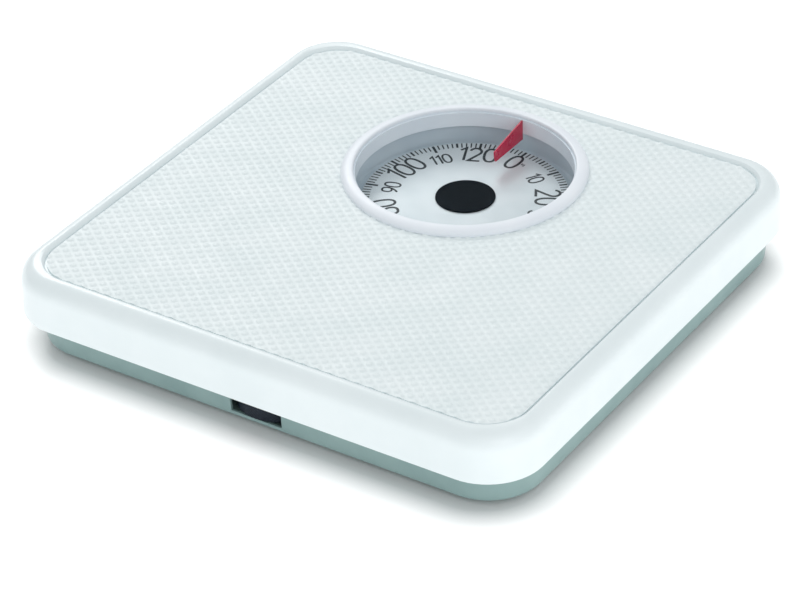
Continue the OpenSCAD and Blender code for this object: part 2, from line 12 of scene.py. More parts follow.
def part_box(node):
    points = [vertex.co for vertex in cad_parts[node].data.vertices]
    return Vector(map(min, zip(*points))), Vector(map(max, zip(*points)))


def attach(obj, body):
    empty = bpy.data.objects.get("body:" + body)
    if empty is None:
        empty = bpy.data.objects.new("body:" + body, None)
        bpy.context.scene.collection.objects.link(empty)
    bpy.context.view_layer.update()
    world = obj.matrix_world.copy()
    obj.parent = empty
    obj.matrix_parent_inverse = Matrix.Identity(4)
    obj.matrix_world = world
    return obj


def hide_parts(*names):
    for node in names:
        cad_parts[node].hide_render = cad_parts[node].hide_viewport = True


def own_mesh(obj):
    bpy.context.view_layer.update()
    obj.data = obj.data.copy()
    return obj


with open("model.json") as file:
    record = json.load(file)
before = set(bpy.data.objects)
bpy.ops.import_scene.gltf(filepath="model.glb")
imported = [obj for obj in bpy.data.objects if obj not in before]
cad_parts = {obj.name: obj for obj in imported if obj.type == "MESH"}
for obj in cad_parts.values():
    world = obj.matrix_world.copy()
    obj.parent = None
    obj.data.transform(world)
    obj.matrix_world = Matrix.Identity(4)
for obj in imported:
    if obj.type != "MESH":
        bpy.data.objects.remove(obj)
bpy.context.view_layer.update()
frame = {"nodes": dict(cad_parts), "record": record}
MM = 0.001


# ---- Mesh helpers ----

def mesh_object(name, verts, faces, material, sharp=35):
    """New smooth mesh from points in mm, with edges over the sharp angle kept crisp."""
    mesh = bpy.data.meshes.new(name)
    mesh.from_pydata([Vector(v) * MM for v in verts], [], faces)
    mesh.update()
    mesh.validate()
    shell = bmesh.new()
    shell.from_mesh(mesh)
    bmesh.ops.recalc_face_normals(shell, faces=shell.faces)
    shell.to_mesh(mesh)
    shell.free()
    mesh.polygons.foreach_set("use_smooth", [True] * len(mesh.polygons))
    mesh.set_sharp_from_angle(angle=math.radians(sharp))
    obj = bpy.data.objects.new(name, mesh)
    bpy.context.scene.collection.objects.link(obj)
    mesh.materials.append(material)
    return obj


def box_mm(node):
    """Lowest and highest corners of a CAD node, in mm."""
    low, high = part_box(node)
    return low / MM, high / MM


def place(obj, body, replaces=()):
    """Puts a piece on its body and the CAD nodes it stands for."""
    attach(obj, body)
    if replaces:
        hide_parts(*replaces)


def circle(centre, radius, z, steps):
    return [(centre[0] + radius * math.cos(2 * math.pi * k / steps),
             centre[1] + radius * math.sin(2 * math.pi * k / steps), z) for k in range(steps)]


def arc(cx, cy, rx, ry, start, end, steps):
    """Points on an ellipse arc between two angles in degrees."""
    return [(cx + rx * math.cos(math.radians(start + (end - start) * i / steps)),
             cy + ry * math.sin(math.radians(start + (end - start) * i / steps)))
            for i in range(steps + 1)]


def rounded_ring(half_x, half_y, radius, z, centre_y=0.0, marks=(), corner_steps=14, side_steps=6):
    """Rounded rectangle, counter-clockwise from its right side's lower end.

    marks are extra x places on its front and back sides.
    """
    inner_x, inner_y = half_x - radius, half_y - radius
    ring = []
    for k, (sx, sy) in enumerate(((1, -1), (1, 1), (-1, 1), (-1, -1))):
        ring += [(sx * inner_x + p[0], sy * inner_y + p[1]) for p in
                 arc(0, 0, radius, radius, 90 * (k - 1), 90 * k, corner_steps)]
        if k % 2 == 0:
            ring += [(sx * half_x, inner_y * (2 * i / side_steps - 1) * (1 if k == 0 else -1))
                     for i in range(1, side_steps)]
        else:
            stops = sorted(set(list(marks) + [inner_x * (2 * i / side_steps - 1)
                                              for i in range(1, side_steps)]))
            ring += [(s, sy * half_y) for s in (reversed(stops) if k == 1 else stops)]
    return [(x, y + centre_y, z) for x, y in ring]


def circle_towards(ring, centre, radius, z):
    """Points of a circle, one on the way to each point of a ring around it."""
    out = []
    for x, y, _ in ring:
        d = math.hypot(x - centre[0], y - centre[1])
        out.append((centre[0] + (x - centre[0]) * radius / d, centre[1] + (y - centre[1]) * radius / d, z))
    return out


def loft(rings, closed=False, caps=False, skip=()):
    """Quads between rings of the same length. skip holds (ring, point) quads left out."""
    count = len(rings[0])
    verts = [p for ring in rings for p in ring]
    faces = []
    last = len(rings) if closed else len(rings) - 1
    for i in range(last):
        low, high = i * count, (i + 1) % len(rings) * count
        for k in range(count):
            if (i, k) not in skip:
                n = (k + 1) % count
                faces.append((low + k, low + n, high + n, high + k))
    if caps:
        for start, order in ((0, -1), ((len(rings) - 1) * count, 1)):
            ring = verts[start:start + count]
            verts.append(tuple(sum(p[i] for p in ring) / count for i in range(3)))
            for k in range(count):
                a, b = start + k, start + (k + 1) % count
                faces.append((a, b, len(verts) - 1) if order > 0 else (b, a, len(verts) - 1))
    return verts, faces


def lathe(profile, centre, steps=128, closed=True, caps=False):
    """Turned surface around a vertical axis, from (radius, height) points."""
    return loft([circle(centre, r, z, steps) for r, z in profile], closed=closed, caps=caps)


def tube(path, radius, sides):
    """Round wire along a path of points."""
    rings = []
    for i, p in enumerate(path):
        ahead = Vector(path[min(i + 1, len(path) - 1)]) - Vector(path[max(i - 1, 0)])
        ahead.normalize()
        out = ahead.orthogonal() if not rings else (side - ahead * side.dot(ahead))
        side = out.normalized()
        up = ahead.cross(side)
        rings.append([tuple(Vector(p) + radius * (math.cos(2 * math.pi * k / sides) * side
                                                  + math.sin(2 * math.pi * k / sides) * up))
                      for k in range(sides)])
    return loft(rings, caps=True)


def joined(parts):
    """One vertex and face list from several."""
    verts, faces = [], []
    for v, f in parts:
        faces += [tuple(i + len(verts) for i in face) for face in f]
        verts += v
    return verts, faces


# ---- Materials ----

COAT_ROUGHNESS = 0.08
WINDOW_TINT = (0.975, 0.988, 0.992, 1)
# share of light that the window mirrors, seen square on and along its surface
WINDOW_MIRROR = (0.001, 0.16)
WINDOW_FALLOFF = 5


def new_material(name):
    m = bpy.data.materials.new(name)
    m.use_nodes = True
    shader = m.node_tree.nodes["Principled BSDF"]
    return m, m.node_tree, shader


def noise(tree, scale, detail=2.0, stretch=None):
    """Noise texture in the piece's own metres. scale is in features per metre."""
    coords = tree.nodes.new("ShaderNodeTexCoord")
    texture = tree.nodes.new("ShaderNodeTexNoise")
    texture.inputs["Scale"].default_value = scale
    texture.inputs["Detail"].default_value = detail
    source = coords.outputs["Object"]
    if stretch:
        mapping = tree.nodes.new("ShaderNodeMapping")
        mapping.inputs["Scale"].default_value = stretch
        tree.links.new(source, mapping.inputs["Vector"])
        source = mapping.outputs["Vector"]
    tree.links.new(source, texture.inputs["Vector"])
    return texture.outputs["Fac"]


def spread(tree, value, low, high, out_low, out_high):
    """Maps a value's range to another."""
    node = tree.nodes.new("ShaderNodeMapRange")
    for key, number in (("From Min", low), ("From Max", high), ("To Min", out_low), ("To Max", out_high)):
        node.inputs[key].default_value = number
    tree.links.new(value, node.inputs["Value"])
    return node.outputs["Result"]


def blend_colour(tree, value, first, second):
    node = tree.nodes.new("ShaderNodeMix")
    node.data_type = "RGBA"
    node.inputs["A"].default_value = (*first, 1)
    node.inputs["B"].default_value = (*second, 1)
    tree.links.new(value, node.inputs["Factor"])
    return node.outputs["Result"]


def finish_material(name, dark, light, rough, grain, relief, metallic=0.0, coat=0.0, blotch=40,
                    stretch=None, alpha=1.0, specular=0.5):
    """Two shades in soft blotches, roughness that varies, and a fine relief."""
    m, tree, shader = new_material(name)
    patches = noise(tree, blotch, 3.0, stretch)
    tree.links.new(blend_colour(tree, spread(tree, patches, 0.35, 0.65, 0, 1), dark, light),
                   shader.inputs["Base Color"])
    tree.links.new(spread(tree, noise(tree, blotch * 3, 2.0, stretch), 0.3, 0.7, rough[0], rough[1]),
                   shader.inputs["Roughness"])
    if relief:
        bump = tree.nodes.new("ShaderNodeBump")
        bump.inputs["Strength"].default_value = 1.0
        bump.inputs["Distance"].default_value = relief * MM
        tree.links.new(noise(tree, grain, 3.0, stretch), bump.inputs["Height"])
        tree.links.new(bump.outputs["Normal"], shader.inputs["Normal"])
    shader.inputs["Metallic"].default_value = metallic
    shader.inputs["Coat Weight"].default_value = coat
    shader.inputs["Coat Roughness"].default_value = COAT_ROUGHNESS
    shader.inputs["Specular IOR Level"].default_value = specular
    shader.inputs["Alpha"].default_value = alpha
    return m


def window_material():
    """Clear plastic: sight passes straight through, and a share that grows at a slant is mirrored."""
    m, tree, shader = new_material("clear_window")
    tree.nodes.remove(shader)
    clear = tree.nodes.new("ShaderNodeBsdfTransparent")
    clear.inputs["Color"].default_value = WINDOW_TINT
    gloss = tree.nodes.new("ShaderNodeBsdfGlossy")
    tree.links.new(spread(tree, noise(tree, 120, 2.0), 0.3, 0.7, 0.03, 0.07), gloss.inputs["Roughness"])
    slant = tree.nodes.new("ShaderNodeLayerWeight")
    slant.inputs["Blend"].default_value = 0.5
    power = tree.nodes.new("ShaderNodeMath")
    power.operation = "POWER"
    power.inputs[1].default_value = WINDOW_FALLOFF
    tree.links.new(slant.outputs["Facing"], power.inputs[0])
    mix = tree.nodes.new("ShaderNodeMixShader")
    tree.links.new(spread(tree, power.outputs["Value"], 0, 1, *WINDOW_MIRROR), mix.inputs["Fac"])
    tree.links.new(clear.outputs["BSDF"], mix.inputs[1])
    tree.links.new(gloss.outputs["BSDF"], mix.inputs[2])
    tree.links.new(mix.outputs["Shader"], tree.nodes["Material Output"].inputs["Surface"])
    return m


MATERIALS = {
    "cover_paint": finish_material("cover_enamel", (0.795, 0.865, 0.88), (0.825, 0.89, 0.905),
                                   (0.30, 0.38), 900, 0.002, coat=0.1),
    "mat_vinyl": finish_material("mat_vinyl", (0.78, 0.85, 0.86), (0.82, 0.88, 0.89),
                                 (0.42, 0.55), 4000, 0.03),
    "bezel_plastic": finish_material("bezel_plastic", (0.83, 0.87, 0.925), (0.87, 0.905, 0.95),
                                     (0.34, 0.44), 2500, 0.006, specular=0.35),
    "clear_plastic": window_material(),
    "pointer_plastic": finish_material("pointer_red", (0.52, 0.004, 0.045), (0.62, 0.008, 0.06),
                                       (0.25, 0.35), 2000, 0.006, coat=0.2, alpha=0.94),
    "dial_face": finish_material("dial_silver", (0.66, 0.70, 0.72), (0.74, 0.77, 0.785),
                                 (0.30, 0.42), 3000, 0.004, metallic=0.25),
    "hub_black": finish_material("hub_black", (0.004, 0.007, 0.010), (0.007, 0.011, 0.015),
                                 (0.3, 0.4), 2500, 0.01, specular=0.01),
    "surround_plastic": finish_material("surround_grey", (0.60, 0.68, 0.74), (0.68, 0.75, 0.80),
                                        (0.45, 0.6), 2500, 0.02),
    "pan_paint": finish_material("pan_enamel", (0.24, 0.36, 0.355), (0.29, 0.42, 0.41),
                                 (0.30, 0.42), 1200, 0.01),
    "wheel_plastic": finish_material("wheel_charcoal", (0.004, 0.010, 0.020), (0.012, 0.022, 0.036),
                                     (0.45, 0.6), 3500, 0.03, specular=0.25),
    "foot_rubber": finish_material("foot_rubber", (0.015, 0.015, 0.017), (0.03, 0.03, 0.033),
                                   (0.7, 0.85), 3000, 0.04),
    "zinc_steel": finish_material("zinc_steel", (0.52, 0.54, 0.57), (0.66, 0.68, 0.70),
                                  (0.28, 0.45), 1500, 0.01, metallic=1.0, blotch=160),
    "lever_steel": finish_material("lever_steel", (0.42, 0.43, 0.45), (0.56, 0.57, 0.59),
                                   (0.32, 0.5), 1200, 0.012, metallic=1.0, blotch=90, stretch=(1, 1, 8)),
    "spring_steel": finish_material("spring_steel", (0.36, 0.37, 0.39), (0.50, 0.51, 0.54),
                                    (0.22, 0.36), 2000, 0.005, metallic=1.0, blotch=200),
    "brass": finish_material("turned_brass", (0.62, 0.42, 0.14), (0.74, 0.53, 0.22),
                             (0.25, 0.38), 2500, 0.006, metallic=1.0, blotch=200),
    "white_acetal": finish_material("white_acetal", (0.78, 0.78, 0.75), (0.84, 0.84, 0.82),
                                    (0.4, 0.5), 2500, 0.01),
    "hub_plastic": finish_material("hub_plastic", (0.66, 0.67, 0.67), (0.74, 0.75, 0.75),
                                   (0.4, 0.5), 2500, 0.01),
}
PRINT_INK = finish_material("print_ink", (0.010, 0.018, 0.022), (0.022, 0.030, 0.035),
                            (0.4, 0.5), 3000, 0.003)

for part in frame["record"]["subparts"]:
    node = frame["nodes"][part["node"]]
    if not node.material_slots:
        node.data.materials.append(None)
    for socket in node.material_slots:
        socket.material = MATERIALS[part["material_slot"]]


# ---- Cover and mat ----

COVER_LOW, COVER_HIGH = box_mm("top_cover")
MAT_LOW, MAT_HIGH = box_mm("platform_mat")
DISC_LOW, DISC_HIGH = box_mm("dial_disc")
DIAL = ((DISC_LOW.x + DISC_HIGH.x) / 2, (DISC_LOW.y + DISC_HIGH.y) / 2)
COVER = {"half_x": COVER_HIGH.x, "half_y": COVER_HIGH.y, "corner": 28.0, "bottom": COVER_LOW.z,
         "top": COVER_HIGH.z, "lean": 0.5, "shoulder": 9.0, "sheet": 1.2, "crest": 1.9, "dip": 2.1}
# groove is the visible gap between the mat's edge and the foot of the lip's inner slope
MAT = {"half_x": MAT_HIGH.x - 0.5, "half_y": MAT_HIGH.y - 0.5, "corner": 20.5, "seat": MAT_LOW.z,
       "ground": MAT_HIGH.z - 0.45, "groove": 0.8}
# radius of the round opening that the bezel's collar goes through
HOLE = 55.2


def build_cover():
    """Pressed cover: skirt, shoulder, a crest, and an inner slope down to the tray that holds the mat."""
    corner_x, corner_y = COVER["half_x"] - COVER["corner"], COVER["half_y"] - COVER["corner"]
    lip_x, lip_y, lip_r = MAT["half_x"] + MAT["groove"], MAT["half_y"] + MAT["groove"], MAT["corner"]
    arc_z = COVER["top"] - COVER["shoulder"]
    wall = COVER["sheet"]
    foot = COVER["corner"]
    side = foot - COVER["lean"]
    crest = lip_x + COVER["crest"] - corner_x

    def ring(r, z):
        return rounded_ring(corner_x + r, corner_y + r, r, z)

    def tray_ring(out, z):
        return rounded_ring(lip_x + out, lip_y + out, lip_r + out, z)

    rings = [ring(foot - wall, COVER["bottom"] + 0.5), ring(foot - 0.9 * wall, COVER["bottom"] + 0.15),
             ring(foot - wall / 2, COVER["bottom"]), ring(foot - 0.1, COVER["bottom"] + 0.15),
             ring(foot, COVER["bottom"] + 0.5)]
    for i in range(1, 5):
        t = i / 5
        rings.append(ring(foot - COVER["lean"] * t, COVER["bottom"] + (arc_z - COVER["bottom"]) * t))
    for r, z in arc(crest, arc_z, side - crest, COVER["shoulder"], 0, 90, 16):
        rings.append(ring(r, z))
    # the crest's inner ring is matched to the tray's outline over the slope
    for share in (0.3, 0.6, 0.85, 1.0):
        drop = COVER["dip"] * share ** 1.6
        rings.append(tray_ring(COVER["crest"] * (1 - share), COVER["top"] - drop))
    seat = tray_ring(0, MAT["seat"])
    rings += [seat, circle_towards(seat, DIAL, HOLE, MAT["seat"]),
              circle_towards(seat, DIAL, HOLE, MAT["seat"] - wall), tray_ring(wall, MAT["seat"] - wall),
              tray_ring(wall, COVER["top"] - COVER["dip"] - wall)]
    for r, z in arc(crest, arc_z, side - crest - wall, COVER["shoulder"] - wall, 80, 0, 8):
        rings.append(ring(r, z))
    cover = mesh_object("cover_shell", *loft(rings, closed=True), MATERIALS["cover_paint"])
    place(cover, "platform", ["top_cover"])


BUMP = {"pitch_x": 7.27, "pitch_y": 5.68, "radius": 1.78, "height": 0.55, "rings": (1.0, 0.8, 0.5)}
HALF_X, HALF_Y = BUMP["pitch_x"] / 2, BUMP["pitch_y"] / 2
# A lattice cell is a diamond round one bump, with this many points on each side
CELL_SIDE = 2
CELL = [((1 - t) * p[0] + t * q[0], (1 - t) * p[1] + t * q[1])
        for p, q in (((HALF_X, 0), (0, HALF_Y)), ((0, HALF_Y), (-HALF_X, 0)),
                     ((-HALF_X, 0), (0, -HALF_Y)), ((0, -HALF_Y), (HALF_X, 0)))
        for t in (i / CELL_SIDE for i in range(CELL_SIDE))]
# points closer than about 1 / SNAP mm count as one
SNAP = 500
# how far inside the mat's edge a whole bump's cell, and a loose point, have to lie
CELL_MARGIN = 0.6
POINT_MARGIN = 0.3
HOLE_STEPS = 300


def cell_centre(i, j):
    return i * BUMP["pitch_x"] + (HALF_X if j % 2 else 0.0), j * HALF_Y


def nearest_cell(x, y):
    """Lattice numbers of the bump whose diamond holds a point, and the distance to its centre."""
    best = None
    row = round(y / HALF_Y)
    for j in (row - 1, row, row + 1):
        i = round((x - cell_centre(0, j)[0]) / BUMP["pitch_x"])
        cx, cy = cell_centre(i, j)
        reach = abs(x - cx) / HALF_X + abs(y - cy) / HALF_Y
        if best is None or reach < best[0]:
            best = (reach, (i, j), math.hypot(x - cx, y - cy))
    return best[1], best[2]


def mat_height(x, y):
    """Height of the embossed mat at a point."""
    t = min(1.0, nearest_cell(x, y)[1] / BUMP["radius"])
    return MAT["ground"] + BUMP["height"] * (1 - t ** 2.6)


def in_mat(x, y, margin=0.0):
    inner_x, inner_y = MAT["half_x"] - MAT["corner"], MAT["half_y"] - MAT["corner"]
    dx, dy = abs(x) - inner_x, abs(y) - inner_y
    inside = (max(dx, dy) < MAT["corner"] - margin if min(dx, dy) < 0
              else math.hypot(dx, dy) < MAT["corner"] - margin)
    return inside and math.hypot(x - DIAL[0], y - DIAL[1]) > HOLE + margin


def build_mat():
    """Whole lattice cells get a ringed bump each, and the strip up to the outlines is triangulated.

    The underside is left open, because the mat lies on the cover's tray.
    """
    index, verts, faces = {}, [], []

    def snap(x, y):
        return round(x * SNAP), round(y * SNAP)

    def vertex(x, y):
        if snap(x, y) not in index:
            index[snap(x, y)] = len(verts)
            verts.append((x, y, mat_height(x, y)))
        return index[snap(x, y)]

    whole, loose, borders = set(), {}, {}
    sides = len(CELL)
    rows = int(MAT["half_y"] / HALF_Y) + 2
    columns = int(MAT["half_x"] / BUMP["pitch_x"]) + 2
    for j in range(-rows, rows + 1):
        for i in range(-columns, columns + 1):
            cx, cy = cell_centre(i, j)
            loops = [[(cx + x, cy + y) for x, y in CELL]]
            for share in BUMP["rings"]:
                r = BUMP["radius"] * share
                loops.append([(cx + r * math.cos(2 * math.pi * k / sides),
                               cy + r * math.sin(2 * math.pi * k / sides)) for k in range(sides)])
            if all(in_mat(x, y, CELL_MARGIN) for x, y in loops[0]):
                whole.add((i, j))
                ids = [[vertex(x, y) for x, y in loop] for loop in loops]
                for a, b in zip(ids, ids[1:]):
                    faces += [(a[k], a[(k + 1) % sides], b[(k + 1) % sides], b[k]) for k in range(sides)]
                top = vertex(cx, cy)
                faces += [(ids[-1][k], ids[-1][(k + 1) % sides], top) for k in range(sides)]
                for k in range(sides):
                    p, q = loops[0][k], loops[0][(k + 1) % sides]
                    borders[(snap(*p), snap(*q))] = (p, q)
            else:
                for p in [p for loop in loops for p in loop] + [(cx, cy)]:
                    if in_mat(*p, POINT_MARGIN):
                        loose.setdefault(snap(*p), p)
    outline = [(x, y) for x, y, _ in
               rounded_ring(MAT["half_x"], MAT["half_y"], MAT["corner"], 0, corner_steps=26, side_steps=190)]
    hole = [(x, y) for x, y, _ in circle(DIAL, HOLE, 0, HOLE_STEPS)]
    points = outline + hole
    lines = [(k, (k + 1) % len(outline)) for k in range(len(outline))]
    lines += [(len(outline) + k, len(outline) + (k + 1) % len(hole)) for k in range(len(hole))]
    open_sides = {key: ends for key, ends in borders.items() if key[::-1] not in borders}
    for (a, b), (p, q) in open_sides.items():
        loose.setdefault(a, p)
        loose.setdefault(b, q)
    numbers = {key: len(points) + n for n, key in enumerate(loose)}
    points += list(loose.values())
    lines += [(numbers[a], numbers[b]) for a, b in open_sides]
    flat, _, triangles, _, _, _ = delaunay_2d_cdt([Vector(p) for p in points], lines, [], 0, 1e-5)
    for triangle in triangles:
        x = sum(flat[v][0] for v in triangle) / 3
        y = sum(flat[v][1] for v in triangle) / 3
        if in_mat(x, y) and nearest_cell(x, y)[0] not in whole:
            faces.append(tuple(vertex(flat[v][0], flat[v][1]) for v in triangle))
    foot = MAT["seat"] + 0.01
    for loop in (outline, hole[::-1]):
        rim = [vertex(x, y) for x, y in loop]
        start = len(verts)
        verts.extend((verts[v][0], verts[v][1], foot) for v in rim)
        faces += [(rim[k], start + k, start + (k + 1) % len(rim), rim[(k + 1) % len(rim)])
                  for k in range(len(rim))]
    mat = mesh_object("embossed_mat", verts, [f for f in faces if len(set(f)) == len(f)],
                      MATERIALS["mat_vinyl"], sharp=60)
    place(mat, "platform", ["platform_mat"])


build_cover()
build_mat()


# ---- Window, bezel and pointer ----

BEZEL = {"inner": 53.1, "wall": 1.6, "bottom": 37.2, "outer": 60.0, "seat": 43.6, "edge": 44.6,
         "top": 47.3, "crown": 55.0, "ledge": 53.8, "lens": 45.0}
LENS_RADIUS = 53.7
LENS_THICKNESS = 1.2
# radius of the tiny ring at the middle of a turned surface, where its cap starts
AXIS = 0.02


def build_window():
    b = BEZEL
    profile = [(b["inner"], b["bottom"] + 0.2), (b["inner"] + 0.2, b["bottom"]),
               (b["inner"] + b["wall"], b["bottom"]), (b["inner"] + b["wall"], b["seat"]),
               (b["outer"] - 0.2, b["seat"]), (b["outer"], b["seat"] + 0.2)]
    profile += arc(b["crown"], b["edge"], b["outer"] - b["crown"], b["top"] - b["edge"], 0, 90, 12)
    profile += arc(b["crown"] - 0.2, b["top"] - 0.9, 0.98, 0.9, 95, 180, 7)
    profile += [(b["ledge"], b["lens"]), (b["inner"] + 0.15, b["lens"]), (b["inner"], b["lens"] - 0.15)]
    bezel = mesh_object("bezel_ring", *lathe(profile, DIAL, steps=192), MATERIALS["bezel_plastic"])
    place(bezel, "platform", ["dial_bezel"])
    low, high = b["lens"], b["lens"] + LENS_THICKNESS
    lens = [(AXIS, low), (LENS_RADIUS - 0.2, low), (LENS_RADIUS, low + 0.15), (LENS_RADIUS, high - 0.2),
            (LENS_RADIUS - 0.25, high), (AXIS, high)]
    pane = mesh_object("window_pane", *lathe(lens, DIAL, steps=160, closed=False, caps=True),
                       MATERIALS["clear_plastic"])
    place(pane, "platform", ["window_lens"])


def build_pointer():
    """Thin upright fin from the collar's wall, with a narrow end over the dial."""
    outline = [(27.8, 34.4), (40.0, 34.25), (53.08, 34.1), (53.08, 44.8), (40.0, 42.6), (26.8, 40.2),
               (26.95, 37.3)]
    half, narrow_end = 0.4, 30
    # across the fin, with how far the narrow end is drawn back there to round it
    layers = ((-1, 0.12), (-0.6, -0.08), (0.6, -0.08), (1, 0.12))
    rings = [[(half * s, DIAL[1] + r + (back if r < narrow_end else 0), z) for r, z in outline]
             for s, back in layers]
    pointer = mesh_object("pointer_fin", *loft(rings, caps=True), MATERIALS["pointer_plastic"], sharp=30)
    place(pointer, "platform", ["pointer"])


build_window()
build_pointer()


# ---- Dial ----

FACE = 28.7
DISC_RADIUS = 51.0
DISC_SHEET = 1.0
FULL_TURN_KG = 130
PER_KG = 360 / FULL_TURN_KG
# clockwise angle of the dial's zero from the back, in degrees
ZERO_TURN = 4.6
INK_HEIGHT = 0.05
INK_SUNK = 0.02
TICK_OUTER = 50.7


def oval(cx, cy, rx, ry, squareness=2.35, steps=40):
    out = []
    for k in range(steps):
        c, s = math.cos(2 * math.pi * k / steps), math.sin(2 * math.pi * k / steps)
        out.append((cx + rx * math.copysign(abs(c) ** (2 / squareness), c),
                    cy + ry * math.copysign(abs(s) ** (2 / squareness), s)))
    return out + out[:1]


def bend(p, q, r, steps=12):
    """Quadratic curve from p to r, pulled towards q."""
    return [tuple((1 - t) ** 2 * a + 2 * t * (1 - t) * b + t * t * c for a, b, c in zip(p, q, r))
            for t in (i / steps for i in range(steps + 1))]


# Stroke centre lines of each figure, one unit high and as wide as WIDTHS says
WIDTHS = {c: 0.50 for c in "023456789"} | {"1": 0.26, "k": 0.42, "g": 0.44}
SIX = [oval(0.25, 0.31, 0.24, 0.31), bend((0.40, 1.0), (0.06, 0.78), (0.012, 0.34))]
GLYPHS = {
    "0": [oval(0.25, 0.5, 0.25, 0.5)],
    "1": [[(0.0, 0.80), (0.22, 1.0), (0.22, 0.0)]],
    "2": [arc(0.25, 0.74, 0.235, 0.26, 168, -38, 18) + bend((0.40, 0.53), (0.22, 0.28), (0.01, 0.0), 8)
          + [(0.5, 0.0)]],
    "3": [arc(0.23, 0.755, 0.21, 0.245, 150, -90, 18), arc(0.23, 0.262, 0.25, 0.262, 90, -150, 20)],
    "4": [[(0.38, 0.0), (0.38, 1.0), (0.0, 0.30), (0.5, 0.30)]],
    "5": [[(0.46, 1.0), (0.10, 1.0), (0.055, 0.56)] + arc(0.235, 0.32, 0.25, 0.32, 128, -145, 22)],
    "6": SIX,
    "7": [[(0.0, 1.0), (0.49, 1.0), (0.16, 0.0)]],
    "8": [oval(0.25, 0.76, 0.20, 0.24), oval(0.25, 0.27, 0.25, 0.27)],
    "9": [[(0.5 - x, 1 - y) for x, y in stroke] for stroke in SIX],
    "k": [[(0.0, 0.0), (0.0, 1.0)], [(0.36, 0.62), (0.0, 0.26)], [(0.14, 0.40), (0.40, 0.0)]],
    "g": [oval(0.2, 0.32, 0.2, 0.3, steps=20),
          [(0.4, 0.62), (0.4, -0.05)] + arc(0.2, -0.05, 0.2, 0.22, 0, -150, 8)],
}


def ribbon(path, width):
    """Flat stroke along a path, raised by the ink's height. A path that ends where it starts is closed."""
    closed = path[0] == path[-1]
    if closed:
        path = path[:-1]
    count = len(path)
    left, right = [], []
    for i, (x, y) in enumerate(path):
        before = path[i - 1] if closed or i else path[0]
        after = path[(i + 1) % count] if closed or i < count - 1 else path[-1]
        into = Vector((x - before[0], y - before[1]))
        out = Vector((after[0] - x, after[1] - y))
        if into.length < 1e-6:
            into = out
        if out.length < 1e-6:
            out = into
        into.normalize()
        out.normalize()
        middle = (into + out).normalized()
        reach = width / 2 / max(0.45, middle.dot(out))
        left.append((x - middle.y * reach, y + middle.x * reach))
        right.append((x + middle.y * reach, y - middle.x * reach))
    rings = [[(*l, FACE - INK_SUNK), (*l, FACE + INK_HEIGHT), (*r, FACE + INK_HEIGHT), (*r, FACE - INK_SUNK)]
             for l, r in zip(left, right)]
    verts, faces = loft(rings, closed=closed)
    if not closed:
        end = len(verts) - 4
        faces += [(0, 1, 2, 3), (end + 3, end + 2, end + 1, end)]
    return verts, faces


def on_dial(path, angle, radius):
    """Moves figure points, x along and y outward, to a clockwise angle and radius on the dial."""
    a = math.radians(angle)
    return [(DIAL[0] + (radius + y) * math.sin(a) + x * math.cos(a),
             DIAL[1] + (radius + y) * math.cos(a) - x * math.sin(a)) for x, y in path]


def figures(text, height, stroke, angle, radius, gap=0.14, start=None):
    """Ribbons of a number whose middle is at a clockwise angle and radius."""
    total = sum(WIDTHS[c] for c in text) + gap * (len(text) - 1)
    x = -total * height / 2 if start is None else start
    out = []
    for c in text:
        for path in GLYPHS[c]:
            out.append(ribbon(on_dial([(x + px * height, (py - 0.5) * height) for px, py in path],
                                      angle, radius), stroke))
        x += (WIDTHS[c] + gap) * height
    return out


def build_dial():
    """Disc with a tick for each kilogram and a figure for each ten, every second one large."""
    low, edge = FACE - DISC_SHEET, 0.15
    disc = [(AXIS, low), (DISC_RADIUS - edge, low), (DISC_RADIUS, low + edge),
            (DISC_RADIUS, FACE - edge), (DISC_RADIUS - edge, FACE), (14.0, FACE), (AXIS, FACE)]
    face = mesh_object("dial_face_disc", *lathe(disc, DIAL, steps=192, closed=False, caps=True),
                       MATERIALS["dial_face"])
    place(face, "dial", ["dial_disc"])
    marks = []
    for kg in range(FULL_TURN_KG):
        angle = ZERO_TURN + kg * PER_KG
        if kg % 10 == 0:
            inner, width = (45.9, 1.25) if kg % 20 == 0 else (44.4, 1.3)
        elif kg % 5 == 0:
            inner, width = 46.8, 1.1
        else:
            inner, width = 46.7, 0.7
        marks.append(ribbon(on_dial([(0, inner), (0, TICK_OUTER)], angle, 0), width))
    for kg in range(0, FULL_TURN_KG, 10):
        big = kg % 20 == 0
        marks += figures(str(kg), 11.8 if big else 7.8, 1.35 if big else 1.02,
                         ZERO_TURN + kg * PER_KG, 40.0 if big else 37.6)
    marks += figures("kg", 1.9, 0.28, ZERO_TURN, 40.6, start=4.4)
    ink = mesh_object("dial_print", *joined(marks), PRINT_INK, sharp=30)
    place(ink, "dial")


def build_hub():
    """Low black cap with a rounded rim and a slightly dished top."""
    radius, rim = 14.7, 0.5
    shoulder = FACE + 0.45
    profile = [(AXIS, FACE), (radius - 0.1, FACE), (radius, FACE + 0.1), (radius, shoulder)]
    profile += arc(radius - rim, shoulder, rim, rim, 0, 90, 6)
    profile += [(13.4, FACE + 0.92), (12.6, FACE + 0.85), (11.0, FACE + 0.8), (7.0, FACE + 0.74),
                (3.0, FACE + 0.72), (AXIS, FACE + 0.71)]
    hub = mesh_object("hub_cover", *lathe(profile, DIAL, steps=96, closed=False, caps=True),
                      MATERIALS["hub_black"], sharp=50)
    place(hub, "dial", ["hub_cap"])


